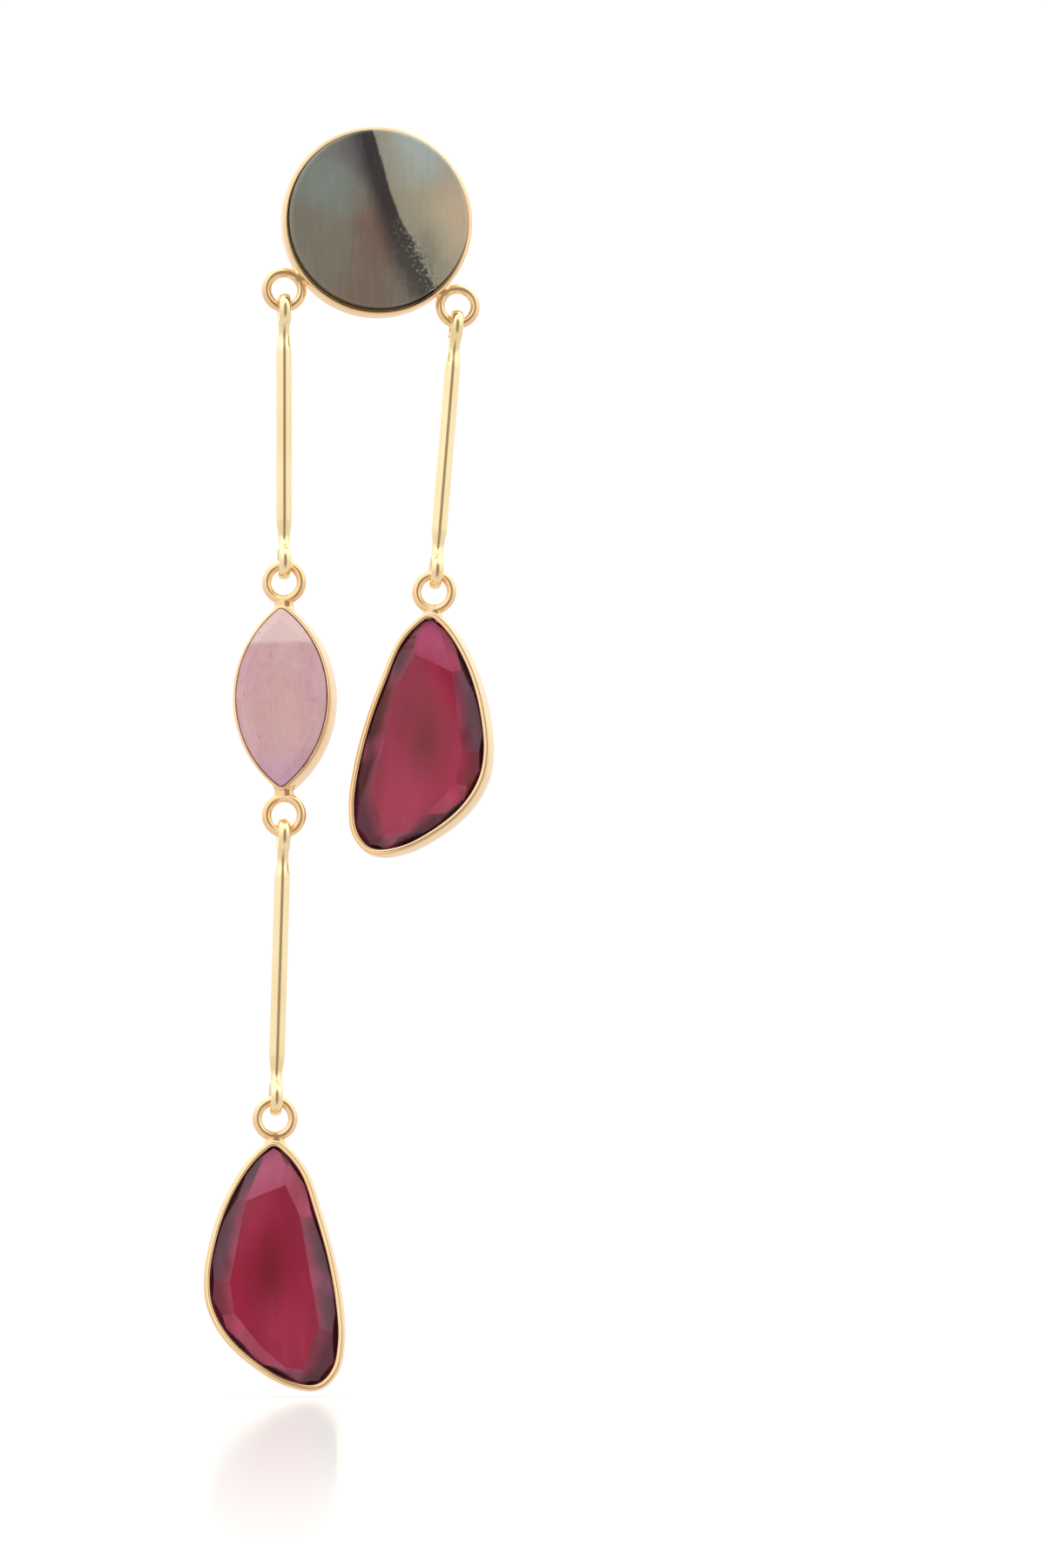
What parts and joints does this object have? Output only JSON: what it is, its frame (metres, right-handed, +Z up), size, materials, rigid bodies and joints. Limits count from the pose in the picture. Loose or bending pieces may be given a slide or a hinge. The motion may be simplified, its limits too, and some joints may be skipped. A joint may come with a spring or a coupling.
{
  "type": "drop earring",
  "caption": "Long post drop earring: round shell disc in a gold cup with a long and a short branch of bars and bezel-set stones that swing freely.",
  "frame": {"origin": "middle of the cup's flat back face, where the soldered post leaves it and the earring lies against the ear lobe", "axes": "+Z up as worn, front of the stones towards -Y, +Y back along the ear post, +X to the right seen from the front"},
  "size_m": [0.0194, 0.0135, 0.0845],
  "materials": {
    "gold": "polished pale gold plating on brass",
    "shell": "polished grey mother-of-pearl",
    "rose_quartz": "polished milky rose quartz",
    "red_glass": "polished faceted ruby-red glass",
    "clear_plastic": "clear plastic"
  },
  "bodies": {
    "top": {"disc_setting": "gold", "disc_stone": "shell", "ear_nut": "clear_plastic"},
    "left_upper_bar": {"left_upper_bar": "gold"},
    "marquise": {"marquise_setting": "gold", "marquise_stone": "rose_quartz"},
    "left_lower_bar": {"left_lower_bar": "gold"},
    "left_pendant": {"left_pendant_setting": "gold", "left_pendant_stone": "red_glass"},
    "right_bar": {"right_bar": "gold"},
    "right_pendant": {"right_pendant_setting": "gold", "right_pendant_stone": "red_glass"}
  },
  "joints": [
    {"name": "left_upper_bar_swing", "type": "hinge", "parent": "top", "child": "left_upper_bar", "pos_m": [-0.00622, -0.00076, -0.00592], "axis": [1, 0, 0], "range_deg": [-75, 75]},
    {"name": "marquise_swing", "type": "hinge", "parent": "left_upper_bar", "child": "marquise", "pos_m": [-0.00616, -0.00076, -0.02327], "axis": [1, 0, 0], "range_deg": [-60, 60]},
    {"name": "left_lower_bar_swing", "type": "hinge", "parent": "marquise", "child": "left_lower_bar", "pos_m": [-0.00614, -0.00076, -0.0412], "axis": [1, 0, 0], "range_deg": [-60, 60]},
    {"name": "left_pendant_swing", "type": "hinge", "parent": "left_lower_bar", "child": "left_pendant", "pos_m": [-0.0066, -0.00076, -0.05899], "axis": [1, 0, 0], "range_deg": [-60, 60]},
    {"name": "right_bar_swing", "type": "hinge", "parent": "top", "child": "right_bar", "pos_m": [0.00538, -0.00076, -0.00677], "axis": [1, 0, 0], "range_deg": [-75, 75]},
    {"name": "right_pendant_swing", "type": "hinge", "parent": "right_bar", "child": "right_pendant", "pos_m": [0.00402, -0.00076, -0.02376], "axis": [1, 0, 0], "range_deg": [-60, 60]}
  ]
}
